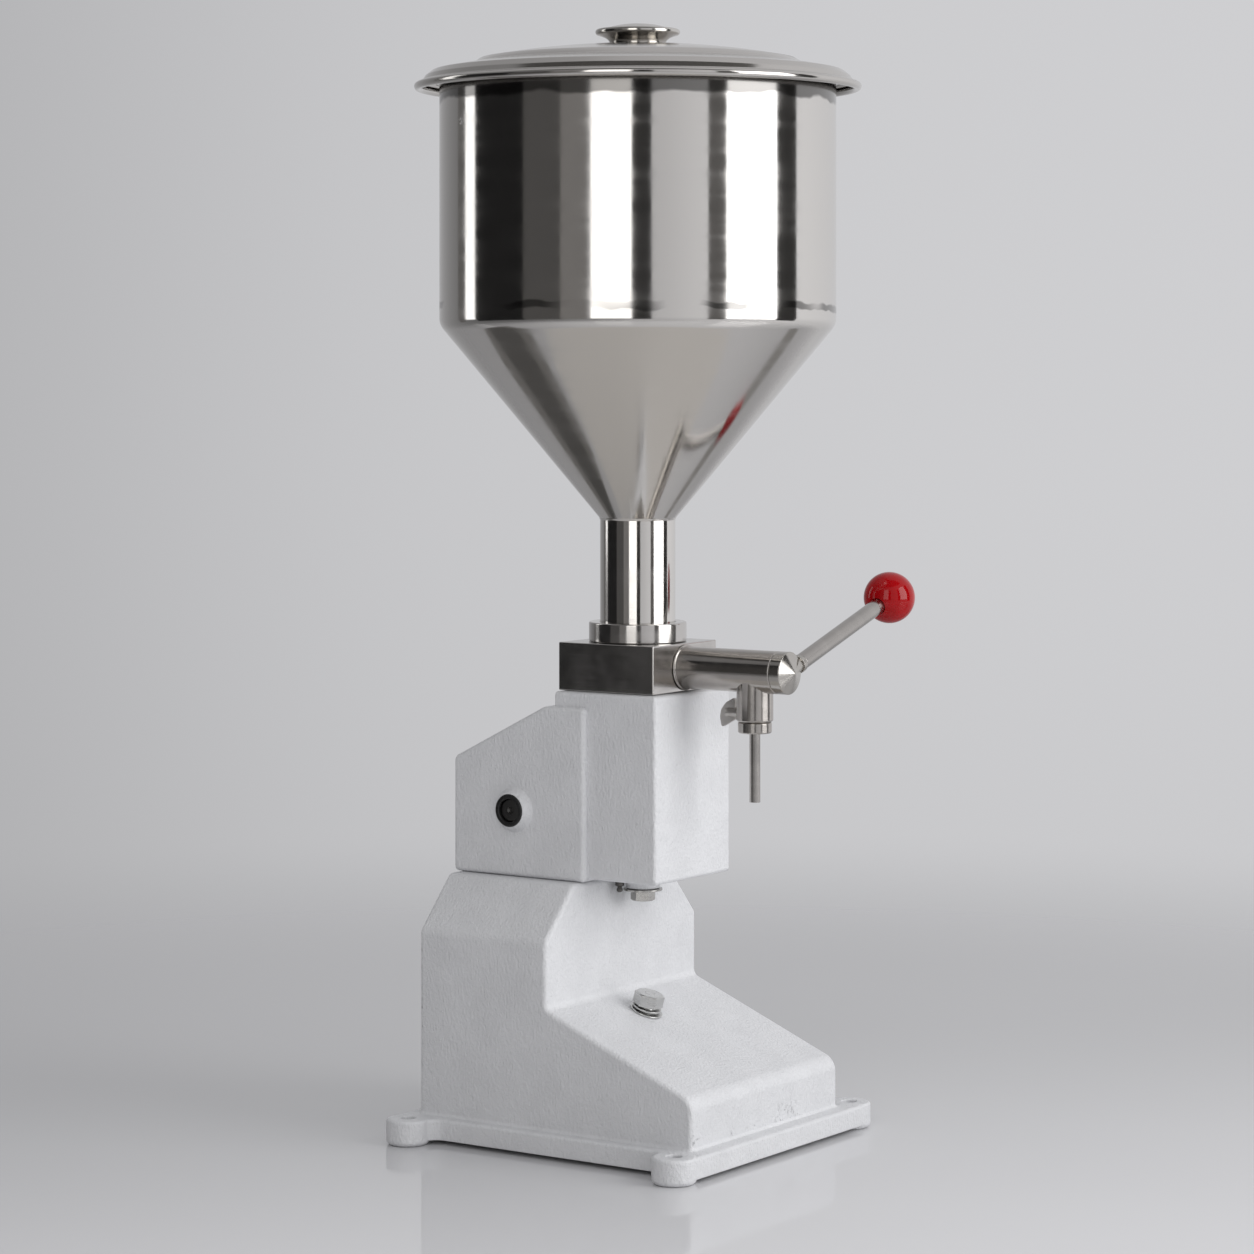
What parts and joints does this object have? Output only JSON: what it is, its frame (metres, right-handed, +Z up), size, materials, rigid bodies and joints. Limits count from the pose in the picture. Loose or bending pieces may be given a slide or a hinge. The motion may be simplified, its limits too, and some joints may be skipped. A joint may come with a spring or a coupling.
{
  "type": "manual paste filling machine",
  "caption": "Bench-top manual paste filler: painted cast stand and head, steel piston pump, funnel hopper with lid, and an outlet pipe with a ball-knob valve lever and a nozzle.",
  "frame": {"origin": "on the floor, straight under the axis of the pump and the hopper", "axes": "+Z up along the pump's axis, the outlet pipe points to -Y, and +X is the side of the valve lever"},
  "size_m": [0.32, 0.32, 0.7964],
  "materials": {
    "cast_paint": "light grey hammered paint on cast iron",
    "polished_steel": "polished stainless steel",
    "satin_steel": "satin turned or milled stainless steel",
    "zinc_steel": "zinc plated or bright steel",
    "dark_steel": "oiled dark steel",
    "black_plastic": "black bearing plastic",
    "seal_rubber": "black seal rubber",
    "red_plastic": "glossy red plastic"
  },
  "bodies": {
    "machine": {"base_casting": "cast_paint", "head_casting": "cast_paint", "hopper": "polished_steel", "neck_collar": "polished_steel", "nozzle_tip": "polished_steel", "pump_cylinder": "polished_steel", "valve_block": "satin_steel", "outlet_pipe": "satin_steel", "nozzle_nut": "satin_steel", "inlet_seat": "satin_steel", "inlet_cage": "satin_steel", "outlet_seat": "satin_steel", "spring_stop": "satin_steel", "ramp_bolt": "zinc_steel", "ramp_spring_washer": "zinc_steel", "ramp_flat_washer": "zinc_steel", "ramp_bolt_nut": "zinc_steel", "outlet_spring": "zinc_steel", "head_bolt_front_left": "zinc_steel", "head_bolt_front_right": "zinc_steel", "head_bolt_back_left": "zinc_steel", "head_bolt_back_right": "zinc_steel", "block_screw_front_left": "zinc_steel", "block_screw_front_right": "zinc_steel", "block_screw_back_left": "zinc_steel", "block_screw_back_right": "zinc_steel", "grease_nipple": "dark_steel", "plug_stop_screw": "dark_steel", "shaft_bush_left": "black_plastic", "shaft_bush_right": "black_plastic", "rod_guide": "black_plastic", "collar_seal": "seal_rubber", "cylinder_o_ring": "seal_rubber", "nozzle_seal": "seal_rubber"},
    "rocker": {"rocker_shaft": "dark_steel", "rocker_arm": "dark_steel", "arm_key": "zinc_steel", "shaft_circlip_left": "dark_steel", "shaft_circlip_right": "dark_steel"},
    "piston_group": {"piston": "satin_steel", "piston_seal_lower": "seal_rubber", "piston_seal_upper": "seal_rubber", "piston_nut": "zinc_steel", "piston_rod": "polished_steel", "rod_pin": "dark_steel", "rod_pin_clip_left": "dark_steel", "rod_pin_clip_right": "dark_steel"},
    "lid": {"hopper_lid": "polished_steel", "lid_knob": "polished_steel", "lid_knob_screw": "zinc_steel"},
    "outlet_plug": {"valve_plug": "satin_steel", "plug_o_ring_inner": "seal_rubber", "plug_o_ring_outer": "seal_rubber", "lever_rod": "polished_steel", "lever_ball": "red_plastic"},
    "stroke_adjuster": {"stroke_bolt": "zinc_steel", "stroke_washer": "zinc_steel"},
    "inlet_valve_ball": {"inlet_ball": "polished_steel"},
    "outlet_valve_ball": {"outlet_ball": "polished_steel"},
    "clamp_wing": {"wing_screw": "satin_steel"}
  },
  "joints": [
    {"name": "rocker_turn", "type": "hinge", "parent": "machine", "child": "rocker", "pos_m": [0, 0.0709, 0.234], "axis": [-1, 0, 0], "range_deg": [0, 30]},
    {"name": "piston_slide", "type": "slide", "parent": "machine", "child": "piston_group", "axis": [0, 0, 1], "range_m": [0, 0.0381]},
    {"name": "lid_lift", "type": "slide", "parent": "machine", "child": "lid", "axis": [0, 0, 1], "range_m": [0, 0.12]},
    {"name": "outlet_valve_turn", "type": "hinge", "parent": "machine", "child": "outlet_plug", "pos_m": [0, -0.1, 0.33745], "axis": [0, -1, 0], "range_deg": [0, 90]},
    {"name": "stroke_adjust", "type": "slide", "parent": "machine", "child": "stroke_adjuster", "axis": [0, 0, 1], "range_m": [-0.01, 0]},
    {"name": "inlet_ball_lift", "type": "slide", "parent": "machine", "child": "inlet_valve_ball", "axis": [0, 0, 1], "range_m": [0, 0.0032]},
    {"name": "outlet_ball_slide", "type": "slide", "parent": "machine", "child": "outlet_valve_ball", "axis": [0, -1, 0], "range_m": [0, 0.003], "stiffness_N_per_m": 100, "springref_m": -0.002, "deforming": ["outlet_spring"]},
    {"name": "clamp_wing_turn", "type": "hinge", "parent": "machine", "child": "clamp_wing", "pos_m": [0, -0.0783, 0.30795], "axis": [0, 1, 0], "range_deg": [0, 180]}
  ],
  "couplings": [
    {"joint": "piston_slide", "follows": "rocker_turn", "m_per_rad": 0.07266}
  ]
}
